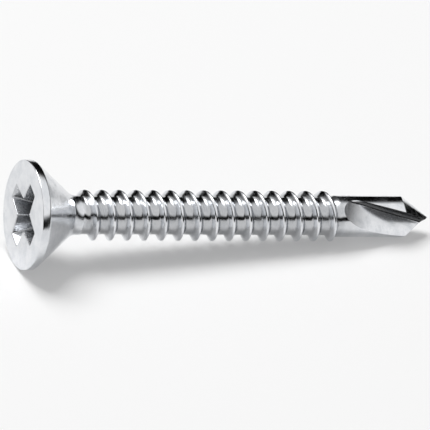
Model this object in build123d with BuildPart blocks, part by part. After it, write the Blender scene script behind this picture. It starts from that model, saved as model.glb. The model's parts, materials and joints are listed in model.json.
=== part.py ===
from build123d import *
from math import atan2, cos, degrees, radians, sin, tan
import os

# Self drilling screw: countersunk head with a cross recess, sheet metal thread and fluted drill point.
#
# The screw is built upright: the centre of the head face is at the origin and the point is at +Z.
# Angles round the axis start at +X, and the two flutes are ground from the +Y and -Y sides. It is
# then laid down as it rests, its point towards +X, on the head rim and the shoulder of the drill.

# Sizes in millimetres, angles in degrees.
overall_length = 30.9

# Head: a thin rim, the cone under it and a short plain neck.
head_diameter = 7.8
rim_height = 0.55
rim_edge = 0.06
countersink_angle = 80.0
neck_diameter = 2.8
neck_length = 0.55
neck_fillet = 1.0

# Cross recess: four tapered wings, the webs between them and a shallow punched bottom.
recess_across = 4.9
recess_wing_width = 1.22
recess_web_radius = 1.14
recess_depth = 2.35
recess_end_slope = 26.5
recess_side_taper = 4.5
recess_web_taper = 8.0
recess_bottom_angle = 140.0
recess_turn = 47.0
recess_lead = 0.1

# Thread: rolled, right hand, a narrow crest standing on a core that is thinner than the drill.
thread_diameter = 3.6
core_diameter = 2.7
thread_pitch = 1.3
thread_turn = 215.0
crest_width = 0.12
flank_angle = 33.0
run_in = 0.35
run_out = 0.6
root_sink = 0.12

# Drill: a plain body with two flutes, each the track of a wheel with a flat side and a dished rim.
drill_diameter = 2.95
drill_length = 6.8
step_angle = 45.0
wheel_radius = 20.0
wheel_corner = 0.25
wheel_depth = 4.0
wheel_width = 5.0
flute_lean = 14.0
flute_floor_angle = 73.5
lip_offset = 0.28
floor_height = 0.26

# Point: two relieved cones that meet in a short chisel edge.
point_half_angle = 36.0
point_lean = 5.0
point_offset = 0.32
point_setback = 0.08
point_crown = 0.54
point_reach = 4.0
point_clearance = 1.0

# How far the screw has rolled round its axis as it lies.
rest_roll = 32.0

head_radius = head_diameter / 2
neck_radius = neck_diameter / 2
core_radius = core_diameter / 2
crest_radius = thread_diameter / 2
drill_radius = drill_diameter / 2
head_height = rim_height + (head_radius - neck_radius) / tan(radians(countersink_angle / 2))
thread_start = head_height + neck_length
thread_end = overall_length - drill_length
core_end = thread_end - run_out


def make_blank():
    """The turned form: rim, cone, neck, core and the plain drill body up to the tip's height."""
    step_length = (drill_radius - core_radius) / tan(radians(step_angle))
    top = overall_length + point_crown
    with BuildPart() as blank:
        with BuildSketch(Plane.XZ) as half:
            with BuildLine():
                Polyline(
                    (0, 0),
                    (head_radius, 0),
                    (head_radius, rim_height),
                    (neck_radius, head_height),
                    (neck_radius, thread_start),
                    (core_radius, thread_start + neck_radius - core_radius),
                    (core_radius, core_end),
                    (drill_radius, core_end + step_length),
                    (drill_radius, top),
                    (0, top),
                    close=True,
                )
            make_face()
            under_head = half.vertices().sort_by_distance((neck_radius, 0, head_height))[0]
            fillet(under_head, neck_fillet)
            fillet(half.vertices().group_by(Axis.X)[-1], rim_edge)
        revolve(axis=Axis.Z)
    return blank.part


def make_thread():
    """A helical rib, turn after turn, inside a turned envelope that fades its two ends."""
    root = core_radius - root_sink
    half_root = crest_width / 2 + (crest_radius - root) * tan(radians(flank_angle))
    with BuildPart() as turn:
        with BuildLine() as path:
            Helix(thread_pitch, thread_pitch, core_radius)
        with BuildSketch(Plane.XZ):
            with BuildLine():
                Polyline(
                    (root, -half_root),
                    (crest_radius, -crest_width / 2),
                    (crest_radius, crest_width / 2),
                    (root, half_root),
                    close=True,
                )
            make_face()
        sweep(path=path.line, is_frenet=True)
    first = thread_start - thread_pitch
    turns = int((thread_end - first) / thread_pitch) + 1
    starts = [Location((0, 0, first + n * thread_pitch), (0, 0, thread_turn)) for n in range(turns)]
    height = crest_radius - core_radius
    with BuildPart() as thread:
        with Locations(starts):
            add(turn.part)
        with BuildSketch(Plane.XZ):
            with BuildLine():
                Polyline(
                    (0, thread_start - run_in * core_radius / height),
                    (crest_radius + height, thread_start + 2 * run_in),
                    (crest_radius + height, core_end - run_out),
                    (0, core_end + run_out * crest_radius / height),
                    close=True,
                )
            make_face()
        revolve(axis=Axis.Z, mode=Mode.INTERSECT)
    return thread.part


def recess_section(depth):
    """The corners of the cross at one depth below the head face, narrowing as it goes down."""
    reach = recess_across / 2 - depth * tan(radians(recess_end_slope))
    half_width = recess_wing_width / 2 - depth * tan(radians(recess_side_taper))
    web = recess_web_radius - depth * tan(radians(recess_web_taper))
    corners = []
    for quarter in range(4):
        wing = Vector(1, 0, 0).rotate(Axis.Z, recess_turn + 90 * quarter)
        across = wing.rotate(Axis.Z, 90)
        corners.append(wing * reach - across * half_width)
        corners.append(wing * reach + across * half_width)
        corners.append(wing.rotate(Axis.Z, 45) * web)
    return corners


def make_recess():
    """The punch that leaves the cross recess."""
    bottom_radius = recess_web_radius - recess_depth * tan(radians(recess_web_taper))
    bottom_height = bottom_radius / tan(radians(recess_bottom_angle / 2))
    with BuildPart() as punch:
        for depth in (-recess_lead, recess_depth):
            with BuildSketch(Plane.XY.offset(depth)):
                with BuildLine():
                    Polyline(*recess_section(depth), close=True)
                make_face()
        loft()
        with Locations((0, 0, recess_depth)):
            Cone(bottom_radius, 0, bottom_height, align=(Align.CENTER, Align.CENTER, Align.MIN))
    return punch.part


def make_flute():
    """The grinding wheel in its place for one flute: its flat side leaves the rake face."""
    along = Vector(0, 0, 1).rotate(Axis.Y, -flute_lean)
    track = Plane(origin=(0, 0, overall_length), x_dir=(0, 1, 0), z_dir=along)
    corner_place = (floor_height, lip_offset + wheel_corner)
    dish_way = Vector(1, 0).rotate(Axis.Z, flute_floor_angle)
    back = floor_height + wheel_depth
    with BuildPart() as wheel:
        with BuildSketch(track):
            with BuildLine():
                Line((back, lip_offset), (floor_height, lip_offset))
                corner = CenterArc(corner_place, wheel_corner, 270, flute_floor_angle - 180)
                dish = PolarLine(corner @ 1, wheel_width, direction=dish_way)
                Polyline(dish @ 1, (back, (dish @ 1).Y), (back, lip_offset))
            make_face()
        hub = track.from_local_coords((floor_height + wheel_radius, 0, 0))
        revolve(axis=Axis(hub, track.y_dir))
    return wheel.part


def make_point_relief():
    """What is taken off outside one flank cone of the point."""
    apex = (-point_offset, -point_setback, overall_length + point_crown)
    flank = Plane(origin=apex, x_dir=(1, 0, 0), z_dir=(0, -1, 0)).rotated((-point_lean, 0, 0))
    drop = point_reach / tan(radians(point_half_angle))
    with BuildPart() as relief:
        with BuildSketch(flank):
            with BuildLine():
                Polyline(
                    (0, 0),
                    (point_reach, -drop),
                    (point_reach, point_clearance),
                    (0, point_clearance),
                    close=True,
                )
            make_face()
        revolve(axis=Axis(apex, flank.y_dir))
    return relief.part


def resting_tilt(upright):
    """How far the axis dips when the head rim and whatever the shank meets first lie on a flat."""
    side = Vector(drill_radius * 0.999, 0, 0).rotate(Axis.Z, 180 + rest_roll)
    hits = upright.find_intersection_points(Axis((side.X, side.Y, 0), (0, 0, 1)))
    shoulder = max(point.Z for point, normal in hits)
    rim_place = rim_height - rim_edge
    touches = [(drill_radius, shoulder), (crest_radius, core_end)]
    return min(degrees(atan2(head_radius - radius, place - rim_place)) for radius, place in touches)


with BuildPart() as upright:
    add(make_blank())
    add(make_thread())
    add(make_recess(), mode=Mode.SUBTRACT)
    with PolarLocations(0, 2):
        add(make_point_relief(), mode=Mode.SUBTRACT)
        add(make_flute(), mode=Mode.SUBTRACT)

tilt = radians(resting_tilt(upright.part))
lying = Plane(origin=(0, 0, 0), x_dir=(sin(tilt), 0, cos(tilt)), z_dir=(cos(tilt), 0, -sin(tilt)))
with BuildPart() as laid:
    with Locations(lying.location * Location((0, 0, 0), (0, 0, -rest_roll))):
        add(upright.part)

box = laid.part.bounding_box()
with BuildPart() as screw:
    with Locations((-box.center().X, -box.center().Y, -box.min.Z)):
        add(laid.part)

screw.part.label = "screw"
os.makedirs("parts", exist_ok=True)
export_step(screw.part, "parts/screw.step")
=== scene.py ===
import json
from math import ceil, cos, hypot, pi, radians, sin, sqrt, tan

import bmesh
import bpy
from mathutils import Matrix, Vector


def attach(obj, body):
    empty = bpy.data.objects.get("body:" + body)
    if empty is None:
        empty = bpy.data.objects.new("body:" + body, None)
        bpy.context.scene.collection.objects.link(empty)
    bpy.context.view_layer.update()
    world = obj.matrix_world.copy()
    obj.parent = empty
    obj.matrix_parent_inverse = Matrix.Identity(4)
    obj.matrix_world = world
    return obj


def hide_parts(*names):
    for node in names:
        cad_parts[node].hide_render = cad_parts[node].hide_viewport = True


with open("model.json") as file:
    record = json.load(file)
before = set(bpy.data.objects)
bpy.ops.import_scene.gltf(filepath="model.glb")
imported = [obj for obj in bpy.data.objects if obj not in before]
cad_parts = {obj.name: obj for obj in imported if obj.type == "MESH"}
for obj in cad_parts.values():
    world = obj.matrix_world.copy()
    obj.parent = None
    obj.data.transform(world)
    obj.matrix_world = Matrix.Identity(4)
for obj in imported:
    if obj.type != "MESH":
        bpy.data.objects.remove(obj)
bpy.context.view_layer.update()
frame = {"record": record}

mounts = {mount["name"]: mount for mount in frame["record"]["mounts"]}

# The places of the six finishes in the list that every mesh of the screw carries. The last, on the
# rake faces of the flutes, is painted darkest, as shade.
HEADED, PUNCHED, ROLLED, DRAWN, GROUND, RAKED = range(6)

# The screw is modelled upright in millimetres: the centre of its head face at the origin, its point
# at +Z, and angles round its axis from +X. Then it is laid down, in metres, where the frame has it.
MM = 0.001
overall_length = 30.9
merge_gap = 1e-4
turn_steps = 96
round_steps = 4
fillet_steps = 8
round_profile = 0.5

# Head
head_radius = 3.9
rim_height = 0.55
rim_edge = 0.06
face_border = 0.12
cone_half_angle = radians(40.0)
neck_radius = 1.4
neck_fillet = 1.0
neck_length = 0.55

# Cross recess
recess_reach = 2.45
wing_half_width = 0.61
web_radius = 1.14
recess_depth = 2.35
end_slope = radians(26.5)
side_taper = radians(4.5)
web_taper = radians(8.0)
recess_turn = radians(47.0)
recess_corner = 0.07
recess_lip = 0.05
recess_floor_edge = 0.12
recess_floor_drop = 0.30

# Thread. Its crest rises over run_in and falls over run_out, its core changes to the neck and to
# the bar over core_step, and it reaches past both of its ends by joint_reach.
core_radius = 1.35
crest_radius = 1.8
thread_pitch = 1.3
thread_turn = radians(215.0)
crest_width = 0.12
flank_angle = radians(33.0)
crest_edge = 0.035
crest_steps = 2
root_edge = 0.14
root_steps = 4
flank_cuts = 2
run_in = 0.4
run_out = 0.6
core_step = 0.125
joint_reach = 0.1
smooth_passes = 3
smooth_pull = 0.5

# Drill and point. The bar is ground from grind_start on, and closed at foot_level while it is cut.
grind_start = 22.9
foot_level = 22.0
drill_radius = 1.475
drill_length = 6.8
wheel_radius = 20.0
wheel_corner = 0.25
wheel_corner_steps = 8
wheel_depth = 4.0
wheel_width = 5.0
wheel_arc = radians(56.0)
wheel_steps = 120
flute_lean = radians(14.0)
flute_floor_angle = radians(73.5)
lip_offset = 0.28
floor_height = 0.26
point_half_angle = radians(36.0)
point_lean = radians(5.0)
point_offset = 0.32
point_setback = 0.08
point_crown = 0.54
cone_steps = 192

# How far the screw has rolled round its axis as it lies
rest_roll = radians(32.0)

# Edges that turn more than this stay sharp to the eye, as all do where grinding has cut the bar.
sharp_angle = radians(27.0)

# Where a mix node keeps its share and its two colours, and where its result
mix_sockets = (0, 6, 7)
mix_result = 2

# Zinc plate. A noise is its scale, detail and roughness. A range is where a share of it starts and
# where it is whole.
plate_bright = (0.80, 0.81, 0.83, 1.0)
plate_grey = (0.66, 0.68, 0.71, 1.0)
cloud_noise = (0.9, 4.0, 0.6)
cloud_range = (0.36, 0.66)
cloud_greyness = 0.7
grain_noise = (9.0, 3.0, 0.65)
grain_range = (0.42, 0.68)
grain_greyness = 0.3
grain_height = 0.5

# How rough the plate is: clouds and scratches add to it, polish takes from it
cloud_roughness = 0.6
scratch_roughness = 0.4
polish_smoothness = 0.25
texture_range = (-0.2, 0.9)

# Forming marks: how close they lie along each axis of their place, and how fast they change with
# the distance from the axis, or which pattern they take
marks_noise = (1.0, 3.0, 0.6)
scratch_range = (0.56, 0.7)
round_stretch = (0.4, 0.4, 16.0)
round_change = 16.0
helix_stretch = (3.6, 3.6, 0.25)
helix_change = 20.0
down_stretch = (11.0, 11.0, 1.2)
down_pattern = 0.0
drawn_stretch = (9.0, 9.0, 0.5)
drawn_pattern = 7.0
ground_stretch = (16.0, 16.0, 0.9)
ground_pattern = 3.0

# The radius below which a direction from the axis fades out
smallest_radius = 0.01

# The touch of each finish: its least and its most roughness, and the depth of its marks in metres
headed_touch = (0.13, 0.30, 1.5e-6)
punched_touch = (0.2, 0.36, 4e-6)
rolled_touch = (0.12, 0.3, 2.5e-6)
drawn_touch = (0.13, 0.30, 1.5e-6)
ground_touch = (0.14, 0.3, 0.8e-6)
raked_touch = (0.2, 0.36, 3e-6)

# Painted shade: how dark the plate's colour is made in the hollows of each finish, and darker still
# in the groove of the thread, in the recess and on the rake faces of the flutes, where shade falls
painted_hollow_shade = 0.8
painted_groove_shade = 0.65
painted_recess_shade = 0.22
painted_rake_shade = 0.12

# How far handling has polished a spot, from 0 in hollows to 1 on what stands out, and how wide the
# border of what is fully polished is. The same value sets the painted shade: 0 is painted darkest
cone_wear_and_shade = 0.55
rim_border = 0.3
recess_top_wear_and_shade = 0.6
recess_floor_wear_and_shade = 0.1
root_wear_and_shade = 0.1
crest_border = 0.06
run_in_wear_and_shade = 0.75
run_out_wear_and_shade = 0.6
bar_wear_and_shade = 0.3
bar_border = 2.0
web_wear_and_shade = 0.45
web_reach = 0.35
rake_border = 0.2

# Floor of white paper
floor_size = 2.0
floor_colour = (0.9, 0.9, 0.9, 1.0)
floor_roughness = 0.9
floor_gloss = 0.1
floor_lift = 0.25

# How bright the room looks at a height, from 0 straight down to 1 straight up, and the share of
# that which it gives as light
room_levels = ((0.0, 1.0), (0.49, 1.0), (0.505, 0.0), (0.65, 0.0), (0.74, 1.0), (1.0, 1.0))
room_light = 0.35

# A dark card behind the screw, which draws its upper edges: its direction, its half width, how soft
# its edge is and how bright it is
card_side = radians(57.0)
card_rise = radians(17.0)
card_reach = radians(38.0)
card_edge = radians(10.0)
card_level = 0.0

# Key lamp: its direction, its distance and its sides in metres, its power in watts
key_side = radians(120.0)
key_rise = radians(66.0)
key_distance = 1.0
key_size = (0.60, 0.60)
key_power = 9.2

# Camera: a very long lens, in millimetres, as are the width that it takes in and the place of its
# centre from the middle of the screw. It sees what lies between clip_near and clip_far, in metres.
view_turn = radians(22.5)
view_rise = radians(30.0)
view_roll = radians(0.25)
view_lens = 900.0
view_width = 30.47
view_right = -0.785
view_up = 0.05
clip_near = 0.01
clip_far = 10.0

head_height = rim_height + (head_radius - neck_radius) / tan(cone_half_angle)
thread_start = head_height + neck_length
thread_end = overall_length - drill_length
core_end = thread_end - run_out
neck_joint = thread_start - joint_reach
drill_joint = thread_end + joint_reach


def chain(bm, points, closed=False):
    """Edges from point to point, each given as (x, y, z)."""
    verts = [bm.verts.new(point) for point in points]
    follow = verts[1:] + verts[:1] if closed else verts[1:]
    for first, second in zip(verts, follow):
        bm.edges.new((first, second))
    return verts


def profile(bm, points):
    """Half a turned section, as (radius, height) points."""
    return chain(bm, [(radius, 0.0, height) for radius, height in points])


def round_corners(bm, verts, offset, segments):
    """Rounds corners of a chain. offset is how far from the corner the round starts."""
    return bmesh.ops.bevel(bm, geom=verts, affect="VERTICES", offset=offset, offset_type="OFFSET",
                           segments=segments, profile=round_profile, material=-1)


def turn_round(bm):
    """Spins the section once round the axis, starting where the thread does."""
    bmesh.ops.spin(bm, geom=bm.verts[:] + bm.edges[:], axis=(0.0, 0.0, 1.0), angle=2 * pi,
                   steps=turn_steps, use_merge=True)
    bmesh.ops.remove_doubles(bm, verts=bm.verts[:], dist=merge_gap)
    bmesh.ops.rotate(bm, verts=bm.verts[:], matrix=Matrix.Rotation(thread_turn, 3, "Z"))


def border(bm):
    return [edge for edge in bm.edges if len(edge.link_faces) < 2]


def finish_faces(bm, finish):
    for face in bm.faces:
        face.material_index = finish


def merge_into(bm, other):
    """Adds the other surface, and closes the seam where their edges meet."""
    mesh = bpy.data.meshes.new("joined")
    other.to_mesh(mesh)
    other.free()
    bm.from_mesh(mesh)
    bpy.data.meshes.remove(mesh)
    bmesh.ops.remove_doubles(bm, verts=bm.verts[:], dist=merge_gap)


def cross_outline(bm, depth, grow):
    """The cross at one depth, its corners rounded. grow is how far it is set out from the wall."""
    reach = recess_reach + grow - depth * tan(end_slope)
    half_width = wing_half_width + grow - depth * tan(side_taper)
    web = (web_radius + grow * sqrt(2) - depth * tan(web_taper)) / sqrt(2)
    corners = []
    for quarter in range(4):
        wing = Matrix.Rotation(recess_turn + quarter * pi / 2, 3, "Z")
        for x, y in ((reach, -half_width), (reach, half_width), (web, web)):
            corners.append(wing @ Vector((x, y, 0.0)) + Vector((0.0, 0.0, depth)))
    before = set(bm.edges)
    round_corners(bm, chain(bm, corners, closed=True), recess_corner, round_steps)
    return [edge for edge in bm.edges if edge not in before]


def punch_recess(bm, face_edge):
    """Leads the head face in over a rounded lip, down the tapered walls and on to the floor."""
    last = cross_outline(bm, 0.0, recess_lip)
    bmesh.ops.triangle_fill(bm, edges=face_edge + last, use_beauty=True, normal=(0.0, 0.0, -1.0))
    turned = set(bm.faces)
    steps = []
    for turn in range(1, round_steps + 1):
        angle = turn * pi / 2 / round_steps
        steps.append((recess_lip * (1 - cos(angle)), recess_lip * (1 - sin(angle))))
    for turn in range(round_steps + 1):
        angle = turn * pi / 2 / round_steps
        steps.append((recess_depth - recess_floor_edge * (1 - sin(angle)),
                      -recess_floor_edge * (1 - cos(angle))))
    for depth, grow in steps:
        outline = cross_outline(bm, depth, grow)
        bmesh.ops.bridge_loops(bm, edges=last + outline)
        last = outline
    floor = bmesh.ops.contextual_create(bm, geom=last)["faces"]
    centre = bmesh.ops.poke(bm, faces=floor)["verts"]
    bmesh.ops.translate(bm, verts=centre, vec=(0.0, 0.0, recess_floor_drop))
    for face in bm.faces:
        face.material_index = HEADED if face in turned else PUNCHED


def make_head():
    """The turned form from the edge of the head face to the neck, with the cross in the face."""
    bm = bmesh.new()
    corners = profile(bm, [
        (head_radius - face_border, 0.0),
        (head_radius, 0.0),
        (head_radius, rim_height),
        (neck_radius, head_height),
        (neck_radius, neck_joint),
    ])
    round_corners(bm, [corners[3]], neck_fillet * tan(cone_half_angle / 2), fillet_steps)
    round_corners(bm, corners[1:3], rim_edge, round_steps)
    turn_round(bm)
    punch_recess(bm, [edge for edge in border(bm) if edge.verts[0].co.z < merge_gap])
    return bm


def ramp(value, start, end):
    """0 before start, 1 after end, and a smooth rise between."""
    share = min(max((value - start) / (end - start), 0.0), 1.0)
    return share * share * (3 - 2 * share)


def rolled(place):
    """Where a point of the endless thread goes: its crest fades at both ends of the core."""
    radius = hypot(place.x, place.y)
    narrowed = ramp(place.z, thread_start, thread_start + core_step)
    widened = ramp(place.z, core_end, core_end + core_step)
    plain = neck_radius + (core_radius - neck_radius) * narrowed
    plain += (drill_radius - core_radius) * widened
    risen = ramp(place.z, thread_start, thread_start + run_in)
    fallen = ramp(-place.z, -core_end - run_out, -core_end)
    wanted = max(plain, core_radius + (radius - core_radius) * (risen * fallen))
    kept = min(max(place.z, neck_joint), drill_joint)
    return Vector((place.x * wanted / radius, place.y * wanted / radius, kept))


def make_thread():
    """One groove and crest, spun up round the axis turn after turn, then shaped at its ends."""
    bm = bmesh.new()
    half_root = crest_width / 2 + (crest_radius - core_radius) * tan(flank_angle)
    corners = profile(bm, [
        (core_radius, -thread_pitch / 2),
        (core_radius, -half_root),
        (crest_radius, -crest_width / 2),
        (crest_radius, crest_width / 2),
        (core_radius, half_root),
        (core_radius, thread_pitch / 2),
    ])
    round_corners(bm, corners[2:4], crest_edge, crest_steps)
    round_corners(bm, [corners[1], corners[4]], root_edge, root_steps)
    flanks = []
    for edge in bm.edges:
        if abs(edge.verts[0].co.x - edge.verts[1].co.x) > crest_edge:
            flanks.append(edge)
    bmesh.ops.subdivide_edges(bm, edges=flanks, cuts=flank_cuts)
    bmesh.ops.spin(bm, geom=bm.verts[:] + bm.edges[:], axis=(0.0, 0.0, 1.0), angle=2 * pi,
                   dvec=(0.0, 0.0, thread_pitch / turn_steps), steps=turn_steps)
    one_turn = bm.verts[:] + bm.edges[:] + bm.faces[:]
    first = thread_start - thread_pitch
    for turn in range(1, ceil((drill_joint - first) / thread_pitch + 0.5)):
        copy = bmesh.ops.duplicate(bm, geom=one_turn)["geom"]
        verts = [item for item in copy if isinstance(item, bmesh.types.BMVert)]
        bmesh.ops.translate(bm, verts=verts, vec=(0.0, 0.0, turn * thread_pitch))
    place = Matrix.Translation((0.0, 0.0, first)) @ Matrix.Rotation(thread_turn, 4, "Z")
    bmesh.ops.transform(bm, verts=bm.verts[:], matrix=place)
    bmesh.ops.remove_doubles(bm, verts=bm.verts[:], dist=merge_gap)
    for vert in bm.verts:
        vert.co = rolled(vert.co)
    bmesh.ops.remove_doubles(bm, verts=bm.verts[:], dist=merge_gap)
    fading = []
    for vert in bm.verts:
        if core_end - core_step < vert.co.z < thread_end - core_step:
            fading.append(vert)
    for _ in range(smooth_passes):
        bmesh.ops.smooth_vert(bm, verts=fading, factor=smooth_pull,
                              use_axis_x=True, use_axis_y=True)
    finish_faces(bm, ROLLED)
    return bm


def add_bar(bm):
    """The plain bar past the thread, closed at its far end."""
    bar = bmesh.new()
    top = overall_length + point_crown
    profile(bar, [(drill_radius, drill_joint), (drill_radius, top), (0.0, top)])
    turn_round(bar)
    finish_faces(bar, DRAWN)
    merge_into(bm, bar)


def make_point_cone():
    """What one flank of the point keeps of the bar: a leaning cone, its apex just off the axis."""
    bm = bmesh.new()
    depth = 2 * overall_length
    bmesh.ops.create_cone(bm, cap_ends=True, segments=cone_steps, radius2=0.0,
                          radius1=depth * tan(point_half_angle), depth=depth)
    apex = Vector((-point_offset, -point_setback, overall_length + point_crown))
    place = Matrix.Translation(apex) @ Matrix.Rotation(-point_lean, 4, "X")
    place = place @ Matrix.Translation((0.0, 0.0, -depth / 2))
    bmesh.ops.transform(bm, verts=bm.verts[:], matrix=place)
    finish_faces(bm, GROUND)
    return bm


def make_wheel():
    """The arc of the wheel that grinds a flute. Its flat side and corner leave the rake face."""
    bm = bmesh.new()
    back = floor_height + wheel_depth
    round_start = wheel_corner / tan(flute_floor_angle / 2)
    corner = Vector((floor_height - round_start, lip_offset, 0.0))
    dish = corner + wheel_width * Vector((cos(flute_floor_angle), sin(flute_floor_angle), 0.0))
    verts = chain(bm, [(back, lip_offset, 0.0), corner, dish, (back, dish.y, 0.0)], closed=True)
    round_corners(bm, verts[1:2], round_start, wheel_corner_steps)
    section = bmesh.ops.contextual_create(bm, geom=bm.edges[:])["faces"]
    hub = (floor_height + wheel_radius, 0.0, 0.0)
    half_back = Matrix.Rotation(-wheel_arc / 2, 3, "Y")
    bmesh.ops.rotate(bm, verts=bm.verts[:], cent=hub, matrix=half_back)
    bmesh.ops.spin(bm, geom=bm.verts[:] + bm.edges[:] + section, cent=hub, axis=(0.0, 1.0, 0.0),
                   angle=wheel_arc, steps=wheel_steps)
    bmesh.ops.recalc_face_normals(bm, faces=bm.faces[:])
    finish_faces(bm, GROUND)
    for face in bm.faces:
        # The rake faces get the finish whose colour is painted darkest, as shade
        if face.normal.y < 0.0:
            face.material_index = RAKED
    along = Vector((-sin(flute_lean), 0.0, cos(flute_lean)))
    across = Vector((0.0, 1.0, 0.0))
    place = Matrix((across, along.cross(across), along)).transposed().to_4x4()
    place.translation = (0.0, 0.0, overall_length)
    bmesh.ops.transform(bm, verts=bm.verts[:], matrix=place)
    return bm


def half_turn(bm):
    bmesh.ops.rotate(bm, verts=bm.verts[:], matrix=Matrix.Rotation(pi, 3, "Z"))
    return bm


def as_object(bm, name, finishes):
    mesh = bpy.data.meshes.new(name)
    bm.to_mesh(mesh)
    bm.free()
    for finish in finishes:
        mesh.materials.append(finish)
    made = bpy.data.objects.new(name, mesh)
    bpy.context.scene.collection.objects.link(made)
    return made


def keep_side(bm, side):
    """Leaves only the faces past grind_start, or with side -1 only those before it."""
    away = [face for face in bm.faces if side * (face.calc_center_median().z - grind_start) < 0]
    bmesh.ops.delete(bm, geom=away, context="FACES")
    return bm


def close_foot(bm):
    """Carries the open edge straight down to a flat foot, so that what is cut is a closed body."""
    skirt = bmesh.ops.extrude_edge_only(bm, edges=border(bm))["geom"]
    for vert in skirt:
        if isinstance(vert, bmesh.types.BMVert):
            vert.co.z = foot_level
    bmesh.ops.contextual_create(bm, geom=border(bm))
    bmesh.ops.recalc_face_normals(bm, faces=bm.faces[:])


def open_foot(bm):
    foot = [vert for vert in bm.verts if vert.co.z < foot_level + merge_gap]
    bmesh.ops.delete(bm, geom=foot, context="VERTS")


def ground(bm, finishes):
    """The threaded bar after its point and its two flutes are ground."""
    plain = keep_side(bm.copy(), -1)
    keep_side(bm, 1)
    close_foot(bm)
    end = as_object(bm, "shank end", finishes)
    cuts = [
        (make_point_cone(), "INTERSECT"),
        (half_turn(make_point_cone()), "INTERSECT"),
        (make_wheel(), "DIFFERENCE"),
        (half_turn(make_wheel()), "DIFFERENCE"),
    ]
    tools = []
    for tool, operation in cuts:
        tools.append(as_object(tool, "grinding tool", finishes))
        cut = end.modifiers.new("cut", "BOOLEAN")
        cut.solver = "EXACT"
        cut.operation = operation
        cut.object = tools[-1]
    ground_end = bmesh.new()
    ground_end.from_object(end, bpy.context.evaluated_depsgraph_get())
    for used in (end, *tools):
        bpy.data.objects.remove(used)
    open_foot(ground_end)
    merge_into(plain, ground_end)
    return plain


def make_shape(finishes):
    """The whole screw as one closed surface, upright in millimetres, its sharp edges marked."""
    shank = make_thread()
    add_bar(shank)
    shank = ground(shank, finishes)
    merge_into(shank, make_head())
    bmesh.ops.recalc_face_normals(shank, faces=shank.faces[:])
    for edge in shank.edges:
        cut = {face.material_index in (GROUND, RAKED) for face in edge.link_faces}
        edge.smooth = len(cut) == 1 and edge.calc_face_angle(0.0) < sharp_angle
    for face in shank.faces:
        face.smooth = True
    return shank


# Where the frame has the screw: its face centre, the way its point looks, and two sides of that
face_centre = Vector(mounts["drive_recess"]["pos_m"])
ahead = Vector(mounts["thread"]["axis"])
near = Vector((0.0, -1.0, 0.0))
above = near.cross(ahead)


def placed(across, upward, forward, centre):
    """The matrix of a frame from its three directions and its centre."""
    turned = Matrix((across, upward, forward)).transposed().to_4x4()
    turned.translation = centre
    return turned


lay_down = placed(above, near, ahead, face_centre) @ Matrix.Rotation(-rest_roll, 4, "Z")
lay_down = lay_down @ Matrix.Scale(MM, 4)


def make_screw(finishes):
    bm = make_shape(finishes)
    bmesh.ops.transform(bm, verts=bm.verts[:], matrix=lay_down)
    screw = as_object(bm, "plated_screw", finishes)
    level = screw.modifiers.new("flat faces first", "WEIGHTED_NORMAL")
    level.keep_sharp = True
    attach(screw, "root")
    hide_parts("screw")


# ---------------------------------------------------------------- shader groups

def new_group(name, inputs, outputs):
    """An empty shader group. inputs are (name, kind, default), outputs are (name, kind)."""
    tree = bpy.data.node_groups.new(name, "ShaderNodeTree")
    for label, kind, default in inputs:
        socket = tree.interface.new_socket(label, in_out="INPUT", socket_type=kind)
        if default is not None:
            socket.default_value = default
    for label, kind in outputs:
        tree.interface.new_socket(label, in_out="OUTPUT", socket_type=kind)
    return tree, tree.nodes.new("NodeGroupInput"), tree.nodes.new("NodeGroupOutput")


def feed(tree, socket, value):
    """Puts a link or a plain value on a socket."""
    if isinstance(value, bpy.types.NodeSocket):
        tree.links.new(value, socket)
    else:
        socket.default_value = value


def maths(tree, operation, *values):
    node = tree.nodes.new("ShaderNodeMath")
    node.operation = operation
    for socket, value in zip(node.inputs, values):
        feed(tree, socket, value)
    return node.outputs[0]


def spread(tree, value, low, high, to_low, to_high):
    """Maps low to high smoothly on to to_low to to_high, and holds it there outside them."""
    node = tree.nodes.new("ShaderNodeMapRange")
    node.interpolation_type = "SMOOTHSTEP"
    for name, number in (("Value", value), ("From Min", low), ("From Max", high),
                         ("To Min", to_low), ("To Max", to_high)):
        feed(tree, node.inputs[name], number)
    return node.outputs["Result"]


def blend_colours(tree, share, first, second, blend="MIX"):
    node = tree.nodes.new("ShaderNodeMix")
    node.data_type = "RGBA"
    node.blend_type = blend
    for socket, value in zip(mix_sockets, (share, first, second)):
        feed(tree, node.inputs[socket], value)
    return node.outputs[mix_result]


def noise(tree, place, scale, detail, roughness, fourth=None):
    node = tree.nodes.new("ShaderNodeTexNoise")
    if fourth is not None:
        node.noise_dimensions = "4D"
        feed(tree, node.inputs["W"], fourth)
    feed(tree, node.inputs["Vector"], place)
    feed(tree, node.inputs["Scale"], scale)
    feed(tree, node.inputs["Detail"], detail)
    feed(tree, node.inputs["Roughness"], roughness)
    return node.outputs["Fac"]


def combine(tree, x, y, z):
    node = tree.nodes.new("ShaderNodeCombineXYZ")
    for socket, value in zip(node.inputs, (x, y, z)):
        feed(tree, socket, value)
    return node.outputs[0]


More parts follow.
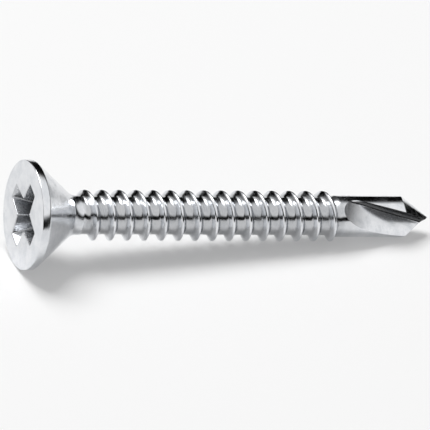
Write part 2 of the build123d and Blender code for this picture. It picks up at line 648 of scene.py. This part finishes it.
def group_from_axis():
    """Distance from the axis, distance along it, and how far round the thread a point is."""
    tree, given, made = new_group(
        "from axis",
        [("Place", "NodeSocketVector", None)],
        [("Radius", "NodeSocketFloat"), ("Along", "NodeSocketFloat"),
         ("Round", "NodeSocketVector"), ("Helix", "NodeSocketVector")])
    split = tree.nodes.new("ShaderNodeSeparateXYZ")
    feed(tree, split.inputs[0], given.outputs["Place"])
    x, y, along = split.outputs
    radius = maths(tree, "SQRT", maths(tree, "ADD", maths(tree, "MULTIPLY", x, x),
                                       maths(tree, "MULTIPLY", y, y)))
    safe = maths(tree, "MAXIMUM", radius, smallest_radius)
    angle = maths(tree, "ARCTAN2", y, x)
    phase = maths(tree, "SUBTRACT", maths(tree, "MULTIPLY", along, 2 * pi / thread_pitch), angle)
    feed(tree, made.inputs["Radius"], radius)
    feed(tree, made.inputs["Along"], along)
    feed(tree, made.inputs["Round"], combine(tree, maths(tree, "DIVIDE", x, safe),
                                             maths(tree, "DIVIDE", y, safe), along))
    feed(tree, made.inputs["Helix"], combine(tree, maths(tree, "COSINE", phase),
                                             maths(tree, "SINE", phase), along))
    return tree


def group_zinc():
    """Bright zinc plate: a cool light grey with slow clouds and a fine grain."""
    tree, given, made = new_group(
        "zinc plate",
        [("Place", "NodeSocketVector", None), ("Bright", "NodeSocketColor", plate_bright),
         ("Grey", "NodeSocketColor", plate_grey)],
        [("Color", "NodeSocketColor"), ("Cloud", "NodeSocketFloat"), ("Grain", "NodeSocketFloat")])
    place = given.outputs["Place"]
    cloud = spread(tree, noise(tree, place, *cloud_noise), *cloud_range, 0.0, 1.0)
    grain = noise(tree, place, *grain_noise)
    share = maths(tree, "ADD", maths(tree, "MULTIPLY", cloud, cloud_greyness),
                  spread(tree, grain, *grain_range, 0.0, grain_greyness))
    feed(tree, made.inputs["Color"],
         blend_colours(tree, share, given.outputs["Bright"], given.outputs["Grey"]))
    feed(tree, made.inputs["Cloud"], cloud)
    feed(tree, made.inputs["Grain"], grain)
    return tree


def group_marks():
    """Long fine tool marks. Place comes stretched, and they run the way it changes slowly."""
    tree, given, made = new_group(
        "tool marks",
        [("Place", "NodeSocketVector", None), ("Depth", "NodeSocketFloat", 0.0)],
        [("Height", "NodeSocketFloat"), ("Scratch", "NodeSocketFloat")])
    lines = noise(tree, given.outputs["Place"], *marks_noise, fourth=given.outputs["Depth"])
    feed(tree, made.inputs["Height"], lines)
    feed(tree, made.inputs["Scratch"], spread(tree, lines, *scratch_range, 0.0, 1.0))
    return tree


def use_group(tree, group, **values):
    node = tree.nodes.new("ShaderNodeGroup")
    node.node_tree = group
    for name, value in values.items():
        feed(tree, node.inputs[name], value)
    return node.outputs


def stretched(tree, place, stretch):
    node = tree.nodes.new("ShaderNodeVectorMath")
    node.operation = "MULTIPLY"
    feed(tree, node.inputs[0], place)
    feed(tree, node.inputs[1], stretch)
    return node.outputs[0]


def start_material(name):
    """A material with its shader, and the place of a point upright in millimetres."""
    material = bpy.data.materials.new(name)
    material.use_nodes = True
    tree = material.node_tree
    shader = tree.nodes["Principled BSDF"]
    object_place = tree.nodes.new("ShaderNodeTexCoord").outputs["Object"]
    mapping = tree.nodes.new("ShaderNodeMapping")
    upright = lay_down.inverted()
    mapping.inputs["Scale"].default_value = (1 / MM, 1 / MM, 1 / MM)
    mapping.inputs["Rotation"].default_value = upright.to_euler("XYZ")
    mapping.inputs["Location"].default_value = upright.translation
    tree.links.new(object_place, mapping.inputs["Vector"])
    return material, tree, shader, mapping.outputs["Vector"]


def plated(name, groups, marks_from, polish_and_shade_of, hollow, touch):
    """Zinc plate over one kind of forming mark.

    marks_from(tree, place, axis) gives the stretched place and the depth of the marks;
    the next function, given (tree, axis), gives how far handling has polished a spot, from 0 in
    hollows to 1 on what stands out, and the same value darkens the colour in hollows as painted
    shade.
    The number after it is how dark that painted shade makes the plate where the value is 0.
    """
    smooth, rough, marks_depth = touch
    material, tree, shader, place = start_material(name)
    axis = use_group(tree, groups["axis"], Place=place)
    plate = use_group(tree, groups["zinc"], Place=place, Bright=plate_bright, Grey=plate_grey)
    marks_place, depth = marks_from(tree, place, axis)
    marks = use_group(tree, groups["marks"], Place=marks_place, Depth=depth)
    polish_and_shade = polish_and_shade_of(tree, axis)
    shader.inputs["Metallic"].default_value = 1.0
    # Painted shade: the plate's colour is darkened towards the hollows, where shade falls
    shade = spread(tree, polish_and_shade, 0.0, 1.0, hollow, 1.0)
    tint = combine(tree, shade, shade, shade)
    feed(tree, shader.inputs["Base Color"],
         blend_colours(tree, 1.0, plate["Color"], tint, "MULTIPLY"))
    texture = maths(tree, "ADD", maths(tree, "MULTIPLY", plate["Cloud"], cloud_roughness),
                    maths(tree, "MULTIPLY", marks["Scratch"], scratch_roughness))
    texture = maths(tree, "SUBTRACT", texture, maths(tree, "MULTIPLY", polish_and_shade, polish_smoothness))
    feed(tree, shader.inputs["Roughness"], spread(tree, texture, *texture_range, smooth, rough))
    bump = tree.nodes.new("ShaderNodeBump")
    bump.inputs["Distance"].default_value = marks_depth
    grain = maths(tree, "MULTIPLY", plate["Grain"], grain_height)
    height = maths(tree, "ADD", marks["Height"], grain)
    feed(tree, bump.inputs["Height"], height)
    feed(tree, shader.inputs["Normal"], bump.outputs["Normal"])
    return material


def marks_round(tree, place, axis):
    """Marks that run round the axis, as on a turned surface."""
    change = maths(tree, "MULTIPLY", axis["Radius"], round_change)
    return stretched(tree, axis["Round"], round_stretch), change


def marks_helix(tree, place, axis):
    """Marks that follow the thread."""
    change = maths(tree, "MULTIPLY", axis["Radius"], helix_change)
    return stretched(tree, axis["Helix"], helix_stretch), change


def marks_down(tree, place, axis):
    """Marks that run down into the recess."""
    return stretched(tree, place, down_stretch), down_pattern


def marks_drawn(tree, place, axis):
    """Marks that a wire die leaves along the bar."""
    return stretched(tree, place, drawn_stretch), drawn_pattern


def marks_ground(tree, place, axis):
    """Marks that run along the flutes and over the point."""
    return stretched(tree, place, ground_stretch), ground_pattern


# Polish and painted shade on the head: darker towards the neck under the head, where shade falls,
# and polished towards the rim
def head_polish_and_shade(tree, axis):
    return spread(tree, axis["Radius"], neck_radius, head_radius - rim_border, cone_wear_and_shade, 1.0)


# Polish and painted shade in the recess: lighter at its mouth and darker towards its floor, where
# shade falls
def recess_polish_and_shade(tree, axis):
    return spread(tree, axis["Along"], 0.0, recess_depth, recess_top_wear_and_shade, recess_floor_wear_and_shade)


def thread_polish_and_shade(tree, axis):
    """The crests are polished and left light and the groove is painted in shade, and the ends of
    the groove are polished and lightened to match what they run into.
    """
    crest = spread(tree, axis["Radius"], core_radius, crest_radius - crest_border, root_wear_and_shade, 1.0)
    neck = spread(tree, axis["Along"], neck_joint, thread_start + run_in, run_in_wear_and_shade, 0.0)
    bar = spread(tree, axis["Along"], core_end, drill_joint, 0.0, run_out_wear_and_shade)
    return maths(tree, "MAXIMUM", crest, maths(tree, "MAXIMUM", neck, bar))


# Polish and painted shade on the bar: darker next to the thread, to match the groove's painted
# shade there, and polished further along
def bar_polish_and_shade(tree, axis):
    return spread(tree, axis["Along"], drill_joint, drill_joint + bar_border, bar_wear_and_shade, 1.0)


# Polish and painted shade on the point: darker towards the axis, deep in the flutes where shade
# falls
def drill_polish_and_shade(tree, axis):
    return spread(tree, axis["Radius"], web_reach, drill_radius, web_wear_and_shade, 1.0)


# Painted shade on the rake faces: darkest deep in the flute, lighter towards the lip
def rake_polish_and_shade(tree, axis):
    return spread(tree, axis["Radius"], drill_radius - rake_border, drill_radius, 0.0, 1.0)


def make_finishes():
    """The finishes in the order of their places, HEADED to RAKED."""
    groups = {"axis": group_from_axis(), "zinc": group_zinc(), "marks": group_marks()}
    # Every finish darkens its hollows as painted shade; the groove, the recess and the rake faces
    # are painted darker still
    return [
        plated("zinc_headed", groups, marks_round, head_polish_and_shade, painted_hollow_shade, headed_touch),
        plated("zinc_punched", groups, marks_down, recess_polish_and_shade, painted_recess_shade, punched_touch),
        plated("zinc_rolled", groups, marks_helix, thread_polish_and_shade, painted_groove_shade, rolled_touch),
        plated("zinc_drawn", groups, marks_drawn, bar_polish_and_shade, painted_hollow_shade, drawn_touch),
        plated("zinc_ground", groups, marks_ground, drill_polish_and_shade, painted_hollow_shade, ground_touch),
        plated("zinc_raked", groups, marks_ground, rake_polish_and_shade, painted_rake_shade, raked_touch),
    ]


# ---------------------------------------------------------------- floor, light and camera

def way_to(side, rise):
    """The direction at an angle round from ahead and an angle above the floor."""
    return Vector((cos(rise) * cos(side), cos(rise) * sin(side), sin(rise)))


def facing(way):
    """Right, up and back directions of a lamp that looks against way."""
    back = way.normalized()
    right = Vector((0.0, 0.0, 1.0)).cross(back).normalized()
    return right, back.cross(right), back


def looked_at(tree):
    """1 for rays that show a thing, straight, mirrored or through glass; 0 for stray light."""
    path = tree.nodes.new("ShaderNodeLightPath")
    seen = maths(tree, "MAXIMUM", path.outputs["Is Camera Ray"], path.outputs["Is Glossy Ray"])
    return maths(tree, "MAXIMUM", seen, path.outputs["Is Transmission Ray"])


def make_floor():
    """A sheet of white paper. Where it is looked at, floor_lift of it shows as plain white."""
    bm = bmesh.new()
    bmesh.ops.create_grid(bm, x_segments=1, y_segments=1, size=floor_size / 2)
    paper = bpy.data.materials.new("white_paper")
    paper.use_nodes = True
    tree = paper.node_tree
    shader = tree.nodes["Principled BSDF"]
    shader.inputs["Base Color"].default_value = floor_colour
    shader.inputs["Roughness"].default_value = floor_roughness
    shader.inputs["Specular IOR Level"].default_value = floor_gloss
    white = tree.nodes.new("ShaderNodeEmission")
    mix = tree.nodes.new("ShaderNodeMixShader")
    feed(tree, mix.inputs[0], maths(tree, "MULTIPLY", looked_at(tree), floor_lift))
    tree.links.new(shader.outputs[0], mix.inputs[1])
    tree.links.new(white.outputs[0], mix.inputs[2])
    tree.links.new(mix.outputs[0], tree.nodes["Material Output"].inputs["Surface"])
    as_object(bm, "paper_floor", [paper])


def make_sky():
    """A white room with a dark band of wall just above the floor, and the dark card."""
    world = bpy.data.worlds.new("pale_room")
    bpy.context.scene.world = world
    world.use_nodes = True
    tree = world.node_tree
    back = tree.nodes["Background"]
    split = tree.nodes.new("ShaderNodeSeparateXYZ")
    direction = tree.nodes.new("ShaderNodeTexCoord").outputs["Generated"]
    feed(tree, split.inputs[0], direction)
    height = maths(tree, "MULTIPLY_ADD", split.outputs[2], 0.5, 0.5)
    wall = tree.nodes.new("ShaderNodeValToRGB")
    wall.color_ramp.interpolation = "EASE"
    stops = wall.color_ramp.elements
    while len(stops) < len(room_levels):
        stops.new(1.0)
    for stop, (rise, level) in zip(stops, room_levels):
        stop.position = rise
        stop.color = (level, level, level, 1.0)
    feed(tree, wall.inputs["Fac"], height)
    feed(tree, back.inputs["Color"], wall.outputs["Color"])
    toward_card = tree.nodes.new("ShaderNodeVectorMath")
    toward_card.operation = "DOT_PRODUCT"
    feed(tree, toward_card.inputs[0], direction)
    feed(tree, toward_card.inputs[1], way_to(card_side, card_rise))
    open_room = spread(tree, toward_card.outputs["Value"], cos(card_reach + card_edge),
                       cos(card_reach - card_edge), 1.0, card_level)
    given = maths(tree, "MULTIPLY_ADD", looked_at(tree), 1.0 - room_light, room_light)
    feed(tree, back.inputs["Strength"], maths(tree, "MULTIPLY", given, open_room))


def make_softbox(name, side, rise, distance, size, power):
    """A large soft lamp that looks at the middle of the screw."""
    light = bpy.data.lights.new(name, "AREA")
    light.shape = "RECTANGLE"
    light.size, light.size_y = size
    light.energy = power
    lamp = bpy.data.objects.new(name, light)
    bpy.context.scene.collection.objects.link(lamp)
    way = way_to(side, rise)
    lamp.matrix_world = placed(*facing(way), way * distance)


def make_camera():
    """Looks at the screw from beside it, turned towards its head and raised above it."""
    beside = cos(view_rise) * near + sin(view_rise) * above
    toward = -sin(view_turn) * ahead + cos(view_turn) * beside
    upward = cos(view_rise) * above - sin(view_rise) * near
    right = upward.cross(toward)
    lens = bpy.data.cameras.new("view")
    lens.lens = view_lens
    lens.clip_start = clip_near
    lens.clip_end = clip_far
    camera = bpy.data.objects.new("view", lens)
    bpy.context.scene.collection.objects.link(camera)
    middle = face_centre + MM * overall_length / 2 * ahead
    centre = middle + MM * (view_right * right + view_up * upward)
    view_distance = MM * view_width * view_lens / lens.sensor_width
    place = placed(right, upward, toward, centre + view_distance * toward)
    camera.matrix_world = place @ Matrix.Rotation(view_roll, 4, "Z")
    bpy.context.scene.camera = camera


make_screw(make_finishes())
make_floor()
make_sky()
make_softbox("key", key_side, key_rise, key_distance, key_size, key_power)
make_camera()
bpy.context.scene.view_settings.view_transform = "Standard"
